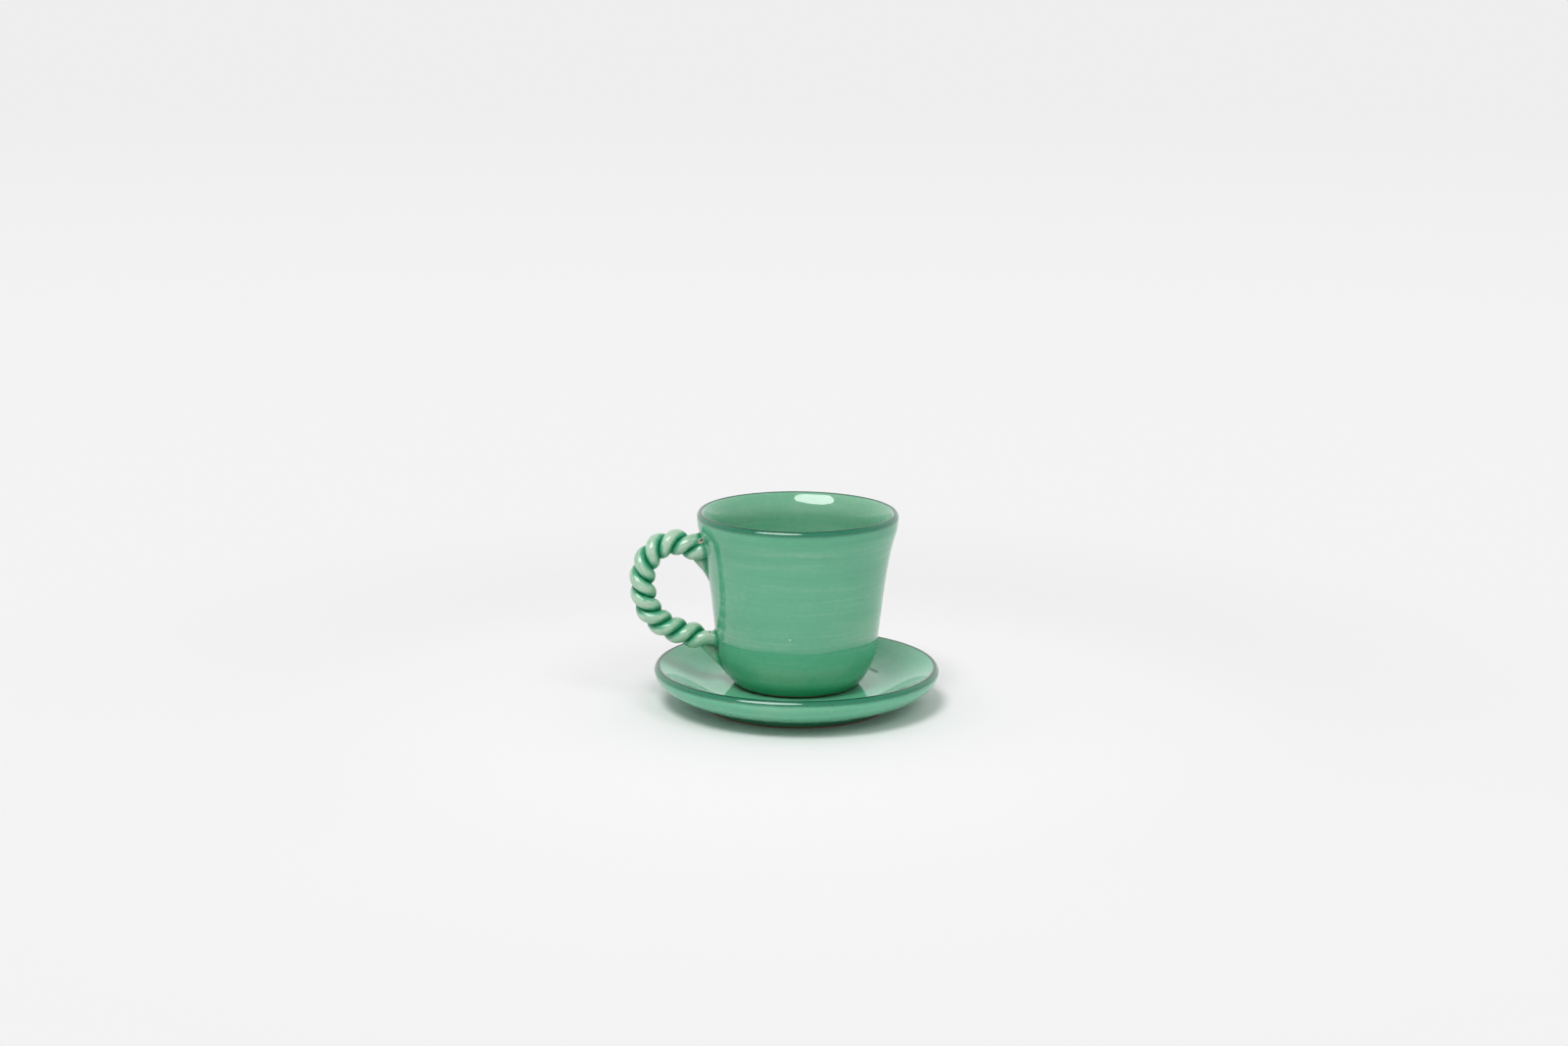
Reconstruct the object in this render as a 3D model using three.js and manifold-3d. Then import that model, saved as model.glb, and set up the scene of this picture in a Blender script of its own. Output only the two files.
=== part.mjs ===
// Coffee cup on its saucer, hand-thrown earthenware under a green glaze.
// The cup's handle is two clay strands twisted into a rope, one of them drawn down the wall at both ends.
// Millimetres, +Z up. The origin is on the common axis of cup and saucer, on the table.
// The handle points to -X.

import * as THREE from 'three';
import { mergeVertices } from 'three/addons/utils/BufferGeometryUtils.js';
import Module from 'manifold-3d';

// Saucer
const saucerRadius = 61.3;
const saucerHeight = 17.3;
const saucerLipThickness = 3.8;
const saucerLipRoll = THREE.MathUtils.degToRad(112); // the lip's round, from its outer side over the crest
const wellRadius = 36.5; // flat floor that carries the cup
const wellHeight = 9;
const wellSweep = 8; // length of the easing from the flat well into the slope
const slopeSweep = 9; // length of the straight run below the lip
const saucerFootRadius = 40.1;
const saucerFootHeight = 2.8;
const saucerFootSpread = 1.4; // the foot's side leans out by this much
const undersideSweep = 8;
const undersideLean = 0.23; // rise per length where the underside leaves the foot
const saucerFootEdge = 0.5; // softened lower edge of the foot

// Cup
const rimRadius = 43;
const cupHeight = 75;
const cupWall = 3.4;
const upperWall = 5; // wall where the lip starts to turn out
const cupLipRoll = THREE.MathUtils.degToRad(145); // the lip's round, from its outer side over the rim
const cupFloor = 5;
const cupFootRadius = 25.3;
const bowlRadius = 34.25; // where the rounded bottom passes into the wall
const bowlHeight = 15.2;
const wallLean = 0.13; // outward lean of the wall above the bowl, per height
const flareOut = 1.35; // how far the lip turns out past the wall
const flareDrop = 9.9; // height of the turned-out lip

// Rope handle
const strandDiameter = 5.7;
const strandOffset = 2.7; // middle of each strand from the middle of the rope
const grooveCount = 10; // grooves between the strands on the near side, half a left-handed turn apart
const firstGroove = 5.4; // rope length from the upper root to the first groove
const lastGroove = 10.7; // rope length from the last groove to the lower root
const upperRootDrop = 16.5; // rim to the rope's upper root
const upperRootLean = 0.19; // rise per length at the root
const crestDrop = 12.9; // rim to the top of the rope's middle line
const crestOut = 11.9; // wall to that top
const reachDrop = 15.8; // crest to the outermost point of the middle line
const reachOut = 28.3; // wall to that point
const lowerRootRise = 19; // cup's base to the rope's lower root
const lowerRootLean = 0.2;
const upperTailDrop = 14.5; // upper root to the tip of the tail below it
const lowerTailTip = 4.2; // cup's base to the tip of the lower tail
const tailTipRadius = 0.9;

// Fits
const seamGap = 0.3; // between a strand and the wall or the other strand
const seatGap = 0.3; // under the cup

// Fullness of the curves: lengths of their Bezier handles as shares of their spans
const quarterEllipse = 0.5523;
const bowlRun = 0.37;
const bowlLift = 0.055;
const bowlPull = 0.36;
const wallPull = 0.31;
const flarePull = 0.22;
const crestRun = 0.45;
const lowerRun = 0.68;
const lowerPull = 0.7;

// Fineness of the round stretches
const turnSteps = 60;
const curveSteps = 6;
const lipSteps = 8;
const strandSides = 12;
const ringSpacing = 1.35;
const twistSteps = 5; // points of a strand's middle line in half a turn
const pressSteps = 16;
const pressSamples = 4; // points of the other strand per ring
const mergeDistance = 1e-4;

const cupBase = wellHeight + seatGap;
const rimTop = cupBase + cupHeight;
const upperRootHeight = rimTop - upperRootDrop;
const lowerRootHeight = cupBase + lowerRootRise;
const lowerTailDrop = lowerRootRise - lowerTailTip;
const strandRadius = strandDiameter / 2;
const rootDepth = strandDiameter; // the strands run this deep into the wall before they are trimmed to it

// How the strands end, once they leave the twist at a rope length before the root.
// Each point of an end has its rise over the root, its stand-out from the wall,
// and its place across the handle, plus being the far side.
const plainUpperEnd = {
  rootHeight: upperRootHeight,
  leaves: 1,
  points: [[1.9, -2, -2.2], [2.3, -rootDepth, -1.8]],
};
const plainLowerEnd = {
  rootHeight: lowerRootHeight,
  leaves: 7,
  points: [[1.9, 4, -2.6], [1.5, 0.6, -2.2], [0.9, -rootDepth, -1.5]],
};
const tailedUpperEnd = {
  rootHeight: upperRootHeight,
  leaves: firstGroove,
  points: [
    [0.4, 3.6, 2.9],
    [-upperTailDrop * 0.23, 2.9, 2.2],
    [-upperTailDrop * 0.55, 0.1, 1],
    [-upperTailDrop, -2.4, 0.3],
  ],
};
const tailedLowerEnd = {
  rootHeight: lowerRootHeight,
  leaves: 8.6,
  points: [
    [0.9, 6.5, 2.7],
    [-lowerTailDrop * 0.15, 4.4, 2.2],
    [-lowerTailDrop * 0.5, 0.8, 1.2],
    [-lowerTailDrop, -1.9, 0.3],
  ],
};

const wasm = await Module();
wasm.setup();

const at = (radius, height) => new THREE.Vector2(radius, height);

// Points of several curves in a row, each shared end taken once.
function joinCurves(curves) {
  return curves.flatMap((curve, i) => {
    const steps = curve.isLineCurve ? 1 : curve.isEllipseCurve ? lipSteps : curveSteps;
    return curve.getPoints(steps).slice(i ? 1 : 0);
  });
}

// Solid of revolution from an outline that starts and ends on the axis, anticlockwise.
function revolve(outline) {
  return new THREE.LatheGeometry(outline, turnSteps).rotateX(Math.PI / 2);
}

function saucerOutline() {
  const lip = saucerLipThickness / 2;
  const footTop = at(saucerFootRadius + saucerFootSpread, saucerFootHeight);
  const lipMiddle = at(saucerRadius - lip, saucerHeight - lip);
  const lipOuter = at(saucerRadius, lipMiddle.y);
  const lipRound = new THREE.EllipseCurve(lipMiddle.x, lipMiddle.y, lip, lip, 0, saucerLipRoll);
  const lipInner = lipRound.getPoint(1);
  const downSlope = at(-Math.sin(saucerLipRoll), Math.cos(saucerLipRoll)).multiplyScalar(slopeSweep);
  return joinCurves([
    new THREE.LineCurve(at(0, 0), at(saucerFootRadius - saucerFootEdge, 0)),
    new THREE.LineCurve(at(saucerFootRadius - saucerFootEdge, 0), at(saucerFootRadius, saucerFootEdge)),
    new THREE.LineCurve(at(saucerFootRadius, saucerFootEdge), footTop),
    new THREE.CubicBezierCurve(
      footTop,
      at(footTop.x + undersideSweep, footTop.y + undersideSweep * undersideLean),
      at(saucerRadius, footTop.y + (lipOuter.y - footTop.y) * (1 - quarterEllipse)),
      lipOuter,
    ),
    lipRound,
    new THREE.CubicBezierCurve(
      lipInner,
      lipInner.clone().add(downSlope),
      at(wellRadius + wellSweep, wellHeight),
      at(wellRadius, wellHeight),
    ),
    new THREE.LineCurve(at(wellRadius, wellHeight), at(0, wellHeight)),
  ]);
}

// One face of the cup's wall, from the floor's edge up to the lip, which it meets at a lean.
// The inner face is the outer one set in, a little more below the lip.
function wallFace({ floorHeight, inset, upperInset, lip, lipLean }) {
  // A curve's handle at a point, some height above or below it, along a lean.
  const handle = (point, rise, lean) => at(point.x + rise * lean, point.y + rise);
  const floorEdge = at(cupFootRadius - inset, floorHeight);
  const bowlTop = at(bowlRadius - inset, cupBase + bowlHeight);
  const flare = at(rimRadius - flareOut - upperInset, rimTop - flareDrop);
  const lipTurn = handle(lip, (flare.y - lip.y) / 2, lipLean);
  const flareLean = (lipTurn.x - flare.x) / (lipTurn.y - flare.y);
  const bowlRise = bowlTop.y - floorEdge.y;
  const wallRise = flare.y - bowlTop.y;
  return joinCurves([
    new THREE.CubicBezierCurve(
      floorEdge,
      at(floorEdge.x + (bowlTop.x - floorEdge.x) * bowlRun, floorEdge.y + bowlRise * bowlLift),
      handle(bowlTop, -bowlRise * bowlPull, wallLean),
      bowlTop,
    ),
    new THREE.CubicBezierCurve(
      bowlTop,
      handle(bowlTop, wallRise * wallPull, wallLean),
      handle(flare, -wallRise * flarePull, flareLean),
      flare,
    ),
    new THREE.QuadraticBezierCurve(flare, lipTurn, lip),
  ]);
}

const cupLip = cupWall / 2;
const outerFace = wallFace({
  floorHeight: cupBase,
  inset: 0,
  upperInset: 0,
  lip: at(rimRadius, rimTop - cupLip),
  lipLean: 0,
});

function cupOutline() {
  const lipRound = new THREE.EllipseCurve(rimRadius - cupLip, rimTop - cupLip, cupLip, cupLip, 0, cupLipRoll);
  const floorHeight = cupBase + cupFloor;
  const innerFace = wallFace({
    floorHeight,
    inset: cupWall,
    upperInset: upperWall,
    lip: lipRound.getPoint(1),
    lipLean: Math.tan(Math.PI - cupLipRoll),
  });
  return [
    at(0, cupBase),
    ...outerFace,
    ...lipRound.getPoints(lipSteps).slice(1, -1),
    ...innerFace.reverse(),
    at(0, floorHeight),
  ];
}

function wallRadiusAt(height) {
  const above = outerFace.findIndex((point) => point.y > height);
  if (above < 1) return outerFace.at(above).x;
  const low = outerFace[above - 1];
  const high = outerFace[above];
  return THREE.MathUtils.mapLinear(height, low.y, high.y, low.x, high.x);
}

// Point of the handle's plane that stands out from the wall.
function outFromWall(standOut, height) {
  return new THREE.Vector3(-wallRadiusAt(height) - standOut, 0, height);
}

// Middle line of the rope, from inside the wall over the crest and round to the lower root.
function ropeMiddleLine() {
  const crestHeight = rimTop - crestDrop;
  const upper = outFromWall(0, upperRootHeight);
  const crest = outFromWall(crestOut, crestHeight);
  const reach = outFromWall(reachOut, crestHeight - reachDrop);
  const lower = outFromWall(0, lowerRootHeight);
  const upperSpan = (upper.x - crest.x) * crestRun;
  const lowerSpan = (lower.x - reach.x) * lowerRun;
  const from = (point, dx, dz) => new THREE.Vector3(point.x + dx, 0, point.z + dz);
  const line = new THREE.CurvePath();
  line.add(new THREE.LineCurve3(from(upper, rootDepth, -rootDepth * upperRootLean), upper));
  line.add(new THREE.CubicBezierCurve3(
    upper,
    from(upper, -upperSpan, upperSpan * upperRootLean),
    from(crest, upperSpan, 0),
    crest,
  ));
  line.add(new THREE.CubicBezierCurve3(
    crest,
    from(crest, (reach.x - crest.x) * quarterEllipse, 0),
    from(reach, 0, reachDrop * quarterEllipse),
    reach,
  ));
  line.add(new THREE.CubicBezierCurve3(
    reach,
    from(reach, 0, (lower.z - reach.z) * lowerPull),
    from(lower, -lowerSpan, lowerSpan * lowerRootLean),
    lower,
  ));
  line.add(new THREE.LineCurve3(lower, from(lower, rootDepth, -rootDepth * lowerRootLean)));
  return line;
}

const ropeLine = ropeMiddleLine();
const ropeLength = ropeLine.getLength();
const freeLength = ropeLength - 2 * rootDepth;
const halfTurn = (freeLength - firstGroove - lastGroove) / (grooveCount - 1);

// Middle of a strand at a rope length from the upper root.
// A strand of phase 0 is on the outside of the rope at the first groove.
function strandMiddle(along, phase) {
  const share = (along + rootDepth) / ropeLength;
  const forward = ropeLine.getTangent(share);
  const outward = new THREE.Vector3(forward.z, 0, -forward.x);
  const farSide = new THREE.Vector3(0, 1, 0);
  const angle = phase - (Math.PI * (along - firstGroove)) / halfTurn;
  return ropeLine.getPoint(share)
    .addScaledVector(outward, strandOffset * Math.cos(angle))
    .addScaledVector(farSide, strandOffset * Math.sin(angle));
}

function twistedMiddles(start, end, phase) {
  const steps = Math.ceil(((end - start) / halfTurn) * twistSteps);
  const along = (step) => THREE.MathUtils.lerp(start, end, step / steps);
  return Array.from({ length: steps + 1 }, (_, step) => strandMiddle(along(step), phase));
}

function endMiddles(end) {
  return end.points.map(([rise, standOut, across]) => (
    outFromWall(standOut, end.rootHeight + rise).setY(across)
  ));
}

function strandLine(phase, upperEnd, lowerEnd) {
  return new THREE.CatmullRomCurve3([
    ...endMiddles(upperEnd).reverse(),
    ...twistedMiddles(upperEnd.leaves, freeLength - lowerEnd.leaves, phase),
    ...endMiddles(lowerEnd),
  ]);
}

const plainLine = strandLine(Math.PI, plainUpperEnd, plainLowerEnd);
const tailedLine = strandLine(0, tailedUpperEnd, tailedLowerEnd);

// Round strand along its middle line, flattened where it is pressed against the other.
function strandGeometry(line, otherLine, radiusAt) {
  const steps = Math.ceil(line.getLength() / ringSpacing);
  const middles = line.getSpacedPoints(steps);
  const frames = line.computeFrenetFrames(steps, false);
  const otherMiddles = otherLine.getSpacedPoints(steps * pressSamples);
  const positions = [];
  const faces = [];
  middles.forEach((middle, ring) => {
    const radius = radiusAt(ring / steps);
    for (let side = 0; side < strandSides; side++) {
      const angle = (2 * Math.PI * side) / strandSides;
      const across = frames.normals[ring].clone().multiplyScalar(Math.cos(angle))
        .addScaledVector(frames.binormals[ring], Math.sin(angle));
      const free = pressedRadius(middle, across, radius, otherMiddles);
      positions.push(...middle.clone().addScaledVector(across, free).toArray());
    }
  });
  positions.push(...middles[0].toArray(), ...middles[steps].toArray());
  const firstCap = middles.length * strandSides;
  for (let side = 0; side < strandSides; side++) {
    const next = (side + 1) % strandSides;
    for (let ring = 0; ring < steps; ring++) {
      const near = ring * strandSides;
      const far = near + strandSides;
      faces.push(near + side, near + next, far + next, near + side, far + next, far + side);
    }
    const last = steps * strandSides;
    faces.push(firstCap, next, side, firstCap + 1, last + side, last + next);
  }
  const geometry = new THREE.BufferGeometry();
  geometry.setAttribute('position', new THREE.Float32BufferAttribute(positions, 3));
  return geometry.setIndex(faces);
}

// Largest radius in a direction that keeps the point nearer to its own strand's middle by the seam gap.
function pressedRadius(middle, across, radius, otherMiddles) {
  const isFree = (length) => {
    const point = middle.clone().addScaledVector(across, length);
    return otherMiddles.every((other) => other.distanceTo(point) > length + seamGap);
  };
  if (isFree(radius)) return radius;
  let low = 0;
  let high = radius;
  for (let halving = 0; halving < pressSteps; halving++) {
    const length = (low + high) / 2;
    if (isFree(length)) low = length;
    else high = length;
  }
  return low;
}

function solidFrom(geometry) {
  const bare = geometry.clone();
  bare.deleteAttribute('normal');
  bare.deleteAttribute('uv');
  const merged = mergeVertices(bare, mergeDistance);
  const corners = merged.index.array;
  const triVerts = [];
  for (let i = 0; i < corners.length; i += 3) {
    const [a, b, c] = corners.slice(i, i + 3);
    if (a !== b && b !== c && c !== a) triVerts.push(a, b, c);
  }
  return new wasm.Manifold(new wasm.Mesh({
    numProp: 3,
    vertProperties: merged.attributes.position.array,
    triVerts: new Uint32Array(triVerts),
  }));
}

function geometryFrom(solid) {
  const { vertProperties, triVerts } = solid.getMesh();
  const geometry = new THREE.BufferGeometry();
  geometry.setAttribute('position', new THREE.BufferAttribute(vertProperties, 3));
  geometry.setIndex(new THREE.BufferAttribute(triVerts, 1));
  geometry.computeVertexNormals();
  return geometry;
}

// Everything inside the cup's outer face, grown by the seam gap: what the strands are trimmed to.
function wallTrimmer() {
  const grown = outerFace.map((point) => at(point.x + seamGap, point.y - seamGap));
  return solidFrom(revolve([at(0, grown[0].y), ...grown, at(0, grown.at(-1).y)]));
}

const wall = wallTrimmer();

// Share of the tailed strand's length that one of its tails takes.
function tailShare(end) {
  return new THREE.CatmullRomCurve3(endMiddles(end)).getLength() / tailedLine.getLength();
}

const upperTailShare = tailShare(tailedUpperEnd);
const lowerTailShare = tailShare(tailedLowerEnd);

// A tail keeps most of its thickness and closes in a rounded tip.
function tailedRadius(share) {
  const fromTip = Math.min(share / upperTailShare, (1 - share) / lowerTailShare, 1);
  return THREE.MathUtils.lerp(tailTipRadius, strandRadius, Math.sqrt(fromTip));
}

function trimmedStrand(line, otherLine, radiusAt) {
  return geometryFrom(solidFrom(strandGeometry(line, otherLine, radiusAt)).subtract(wall));
}

const glaze = (color) => new THREE.MeshStandardMaterial({ color, roughness: 0.12, metalness: 0 });

function piece(name, geometry, material) {
  const mesh = new THREE.Mesh(geometry, material);
  mesh.name = name;
  return mesh;
}

const plainStrand = trimmedStrand(plainLine, tailedLine, () => strandRadius);
const tailedStrand = trimmedStrand(tailedLine, plainLine, tailedRadius);

const cup = new THREE.Group();
cup.add(piece('cup_body', revolve(cupOutline()), glaze(0x5da586)));
cup.add(piece('handle_plain_strand', plainStrand, glaze(0x7dbb96)));
cup.add(piece('handle_tailed_strand', tailedStrand, glaze(0x74b38f)));

const cupAndSaucer = new THREE.Group();
cupAndSaucer.add(piece('saucer', revolve(saucerOutline()), glaze(0x69ab8b)));
cupAndSaucer.add(cup);

export default cupAndSaucer;
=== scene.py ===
"""Looks of the coffee cup with saucer.

Thrown forms, a twisted rope handle, green glaze over red clay, and a plain studio.
"""

import math
from collections import namedtuple

import bpy
import numpy as np
from mathutils import Matrix, Quaternion, Vector


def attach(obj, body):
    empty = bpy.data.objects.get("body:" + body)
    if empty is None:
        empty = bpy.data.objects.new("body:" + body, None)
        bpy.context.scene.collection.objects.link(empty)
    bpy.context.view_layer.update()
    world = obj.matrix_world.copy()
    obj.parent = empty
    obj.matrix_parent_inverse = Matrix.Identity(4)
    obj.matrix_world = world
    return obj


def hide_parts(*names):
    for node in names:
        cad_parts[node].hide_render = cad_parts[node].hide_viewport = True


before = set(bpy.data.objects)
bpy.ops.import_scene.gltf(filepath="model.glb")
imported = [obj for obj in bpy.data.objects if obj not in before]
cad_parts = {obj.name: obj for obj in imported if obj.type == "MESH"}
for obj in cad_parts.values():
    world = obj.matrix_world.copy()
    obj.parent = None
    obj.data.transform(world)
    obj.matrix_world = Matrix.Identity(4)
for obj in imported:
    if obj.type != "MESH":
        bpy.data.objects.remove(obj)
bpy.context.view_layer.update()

# Dimensions of the CAD source, in millimetres
SAUCER_RADIUS, SAUCER_HEIGHT, SAUCER_LIP = 61.3, 17.3, 3.8
SAUCER_LIP_ROLL = math.radians(112)
WELL_RADIUS, WELL_HEIGHT, WELL_SWEEP, SLOPE_SWEEP = 36.5, 9.0, 8.0, 9.0
FOOT_RADIUS, FOOT_HEIGHT, FOOT_SPREAD, FOOT_EDGE = 40.1, 2.8, 1.4, 0.5
UNDERSIDE_SWEEP, UNDERSIDE_LEAN = 8.0, 0.23
RIM_RADIUS, CUP_HEIGHT, CUP_FLOOR = 43.0, 75.0, 5.0
CUP_WALL, UPPER_WALL = 3.4, 5.0
CUP_LIP_ROLL = math.radians(145)
CUP_FOOT_RADIUS, BOWL_RADIUS, BOWL_HEIGHT = 25.3, 34.25, 15.2
WALL_LEAN, FLARE_OUT, FLARE_DROP = 0.13, 1.35, 9.9
STRAND_OFFSET, STRAND_RADIUS, TAIL_TIP_RADIUS = 2.7, 2.93, 0.9
GROOVE_COUNT, FIRST_GROOVE, LAST_GROOVE = 10, 5.4, 10.7
UPPER_ROOT_DROP, UPPER_ROOT_LEAN = 16.5, 0.19
CREST_DROP, CREST_OUT, REACH_DROP, REACH_OUT = 12.9, 11.9, 15.8, 28.3
LOWER_ROOT_RISE, LOWER_ROOT_LEAN = 19.0, 0.2
UPPER_TAIL_DROP, LOWER_TAIL_TIP = 14.5, 4.2
SEAT_GAP = 0.3
ROOT_DEPTH = 2.0  # the strands end inside the wall's thickness
QUARTER_ELLIPSE = 0.5523
BOWL_RUN, BOWL_LIFT, BOWL_PULL = 0.37, 0.055, 0.36
WALL_PULL, FLARE_PULL = 0.31, 0.22
CREST_RUN, LOWER_RUN, LOWER_PULL = 0.45, 0.68, 0.7

CUP_LIP = CUP_WALL / 2
CUP_BASE = WELL_HEIGHT + SEAT_GAP
RIM_TOP = CUP_BASE + CUP_HEIGHT
UPPER_ROOT = RIM_TOP - UPPER_ROOT_DROP
LOWER_ROOT = CUP_BASE + LOWER_ROOT_RISE
LOWER_TAIL_DROP = LOWER_ROOT_RISE - LOWER_TAIL_TIP
MM = 0.001

# Fineness
TURN_STEPS = 240
STRAND_SIDES = 40
STRAND_SPACING = 0.45
TWIST_SPACING = 1.5
SPLINE_STEPS = 16
ROPE_STEPS = 300
SAME_PLACE = 1e-6

# Hand-finished lips: how much slacker the bend is on the shoulder, and where that lies round the lip
LIP_FLATNESS = 0.65
LIP_SHOULDER = math.radians(31)

# Marks of the throwing: how fast they change up the form and around it, and where near the axis they start
RING_PITCH, RING_SCALE = 420.0, 0.6
WAVER_PITCH, WAVER_SCALE = 45.0, 1.3
STILL_RADIUS, THROWN_RADIUS = 8.0, 20.0

# Marks of the rolling along a strand, and how its web to the wall fades with distance and around the strand
ROLLING_SCALE = 160.0
WEB_FADE, WEB_SIDE = 1.5, (0.1, 0.6)
LEAST_REACH = 0.5  # from a strand's middle, so that nothing is divided by zero


# Outlines

def bezier(*points, steps):
    """Points of a Bezier curve of any degree."""
    t = np.linspace(0, 1, steps + 1)[:, None]
    rows = [np.array(p, float)[None, :] + 0 * t for p in points]
    while len(rows) > 1:
        rows = [(1 - t) * a + t * b for a, b in zip(rows, rows[1:])]
    return rows[0]


def arc(middle, radius, start, end, steps):
    angles = np.linspace(start, end, steps + 1)
    return np.stack([middle[0] + radius * np.cos(angles), middle[1] + radius * np.sin(angles)], 1)


def lip_round(middle, radius, roll, steps):
    """Round of a lip from its outer side over its top, flatter on the shoulder that catches the light."""
    angles = np.linspace(0, roll, steps + 1)
    # The bend is tight an eighth of a turn to either side of the shoulder
    waves = 4
    bend = radius * (1 + LIP_FLATNESS * np.cos(waves * (angles - LIP_SHOULDER)))
    travel = bend[:, None] * np.stack([-np.sin(angles), np.cos(angles)], 1)
    moves = (travel[1:] + travel[:-1]) / 2 * (roll / steps)
    points = np.vstack([[0, 0], np.cumsum(moves, axis=0)]) + np.array([middle[0] + radius, middle[1]])
    end = np.array([middle[0] + radius * math.cos(roll), middle[1] + radius * math.sin(roll)])
    return points + np.outer(angles / roll, end - points[-1])


def joined(*stretches):
    """Stretches in a row as one outline, each shared point taken once."""
    points = np.vstack(stretches)
    keep = np.r_[True, np.linalg.norm(np.diff(points, axis=0), axis=1) > SAME_PLACE]
    return points[keep]


def saucer_outline():
    lip = SAUCER_LIP / 2
    foot_top = (FOOT_RADIUS + FOOT_SPREAD, FOOT_HEIGHT)
    lip_middle = (SAUCER_RADIUS - lip, SAUCER_HEIGHT - lip)
    lip_points = lip_round(lip_middle, lip, SAUCER_LIP_ROLL, steps=28)
    lip_inner = lip_points[-1]
    slope = np.array([-math.sin(SAUCER_LIP_ROLL), math.cos(SAUCER_LIP_ROLL)]) * SLOPE_SWEEP
    return joined(
        bezier((0, 0), (FOOT_RADIUS - FOOT_EDGE, 0), steps=14),
        arc((FOOT_RADIUS - FOOT_EDGE, FOOT_EDGE), FOOT_EDGE, -math.pi / 2, 0, steps=4),
        bezier((FOOT_RADIUS, FOOT_EDGE), foot_top, steps=6),
        bezier(
            foot_top,
            (foot_top[0] + UNDERSIDE_SWEEP, foot_top[1] + UNDERSIDE_SWEEP * UNDERSIDE_LEAN),
            (SAUCER_RADIUS, foot_top[1] + (lip_middle[1] - foot_top[1]) * (1 - QUARTER_ELLIPSE)),
            (SAUCER_RADIUS, lip_middle[1]),
            steps=34,
        ),
        lip_points,
        bezier(
            lip_inner,
            lip_inner + slope,
            (WELL_RADIUS + WELL_SWEEP, WELL_HEIGHT),
            (WELL_RADIUS, WELL_HEIGHT),
            steps=34,
        ),
        bezier((WELL_RADIUS, WELL_HEIGHT), (0, WELL_HEIGHT), steps=14),
    )


def curve_handle(point, rise, lean):
    """A curve's handle at a point, some height above or below it, along a lean."""
    return np.array([point[0] + rise * lean, point[1] + rise])


def wall_face(floor_height, inset, upper_inset, lip, lip_lean, fine=1):
    """One face of the cup's wall, from the floor's edge up to the lip, which it meets at a lean."""
    floor_edge = np.array([CUP_FOOT_RADIUS - inset, floor_height])
    bowl_top = np.array([BOWL_RADIUS - inset, CUP_BASE + BOWL_HEIGHT])
    flare = np.array([RIM_RADIUS - FLARE_OUT - upper_inset, RIM_TOP - FLARE_DROP])
    lip_handle = curve_handle(lip, (flare[1] - lip[1]) / 2, lip_lean)
    flare_lean = (lip_handle[0] - flare[0]) / (lip_handle[1] - flare[1])
    bowl_run, bowl_rise = bowl_top - floor_edge
    wall_rise = flare[1] - bowl_top[1]
    return joined(
        bezier(
            floor_edge,
            floor_edge + np.array([bowl_run * BOWL_RUN, bowl_rise * BOWL_LIFT]),
            curve_handle(bowl_top, -bowl_rise * BOWL_PULL, WALL_LEAN),
            bowl_top,
            steps=20 * fine,
        ),
        bezier(
            bowl_top,
            curve_handle(bowl_top, wall_rise * WALL_PULL, WALL_LEAN),
            curve_handle(flare, -wall_rise * FLARE_PULL, flare_lean),
            flare,
            steps=44 * fine,
        ),
        bezier(flare, lip_handle, lip, steps=10 * fine),
    )


def outer_face(fine=1):
    return wall_face(CUP_BASE, 0, 0, np.array([RIM_RADIUS, RIM_TOP - CUP_LIP]), 0, fine)


def cup_outline():
    floor_height = CUP_BASE + CUP_FLOOR
    lip_points = lip_round((RIM_RADIUS - CUP_LIP, RIM_TOP - CUP_LIP), CUP_LIP, CUP_LIP_ROLL, steps=32)
    lip_lean = math.tan(math.pi - CUP_LIP_ROLL)
    inner_face = wall_face(floor_height, CUP_WALL, UPPER_WALL, lip_points[-1], lip_lean)
    return joined(
        bezier((0, CUP_BASE), (CUP_FOOT_RADIUS, CUP_BASE), steps=10),
        outer_face(),
        lip_points,
        inner_face[::-1],
        bezier((CUP_FOOT_RADIUS - CUP_WALL, floor_height), (0, floor_height), steps=10),
    )


OUTER_FACE = outer_face(fine=4)


def out_from_wall(stand_out, height):
    """Point on the handle's side, some way out from the cup's outer face."""
    radius = np.interp(height, OUTER_FACE[:, 1], OUTER_FACE[:, 0])
    return np.array([-radius - stand_out, 0.0, height])


# Paths of the strands

def rope_middle_line():
    """Dense points of the rope's middle line between its roots, and the rope length at each."""
    crest_height = RIM_TOP - CREST_DROP
    upper, crest = out_from_wall(0, UPPER_ROOT), out_from_wall(CREST_OUT, crest_height)
    reach, lower = out_from_wall(REACH_OUT, crest_height - REACH_DROP), out_from_wall(0, LOWER_ROOT)
    upper_span = (upper[0] - crest[0]) * CREST_RUN
    lower_span = (lower[0] - reach[0]) * LOWER_RUN
    along, up = np.array([1.0, 0, 0]), np.array([0, 0, 1.0])
    points = joined(
        bezier(upper, upper - upper_span * (along - UPPER_ROOT_LEAN * up), crest + upper_span * along, crest,
               steps=ROPE_STEPS),
        bezier(crest, crest + (reach[0] - crest[0]) * QUARTER_ELLIPSE * along,
               reach + REACH_DROP * QUARTER_ELLIPSE * up, reach, steps=ROPE_STEPS),
        bezier(reach, reach + (lower[2] - reach[2]) * LOWER_PULL * up,
               lower - lower_span * (along - LOWER_ROOT_LEAN * up), lower, steps=ROPE_STEPS),
    )
    return points, np.r_[0, np.cumsum(np.linalg.norm(np.diff(points, axis=0), axis=1))]


ROPE_POINTS, ROPE_ALONG = rope_middle_line()
ROPE_LENGTH = ROPE_ALONG[-1]
HALF_TURN = (ROPE_LENGTH - FIRST_GROOVE - LAST_GROOVE) / (GROOVE_COUNT - 1)


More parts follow.
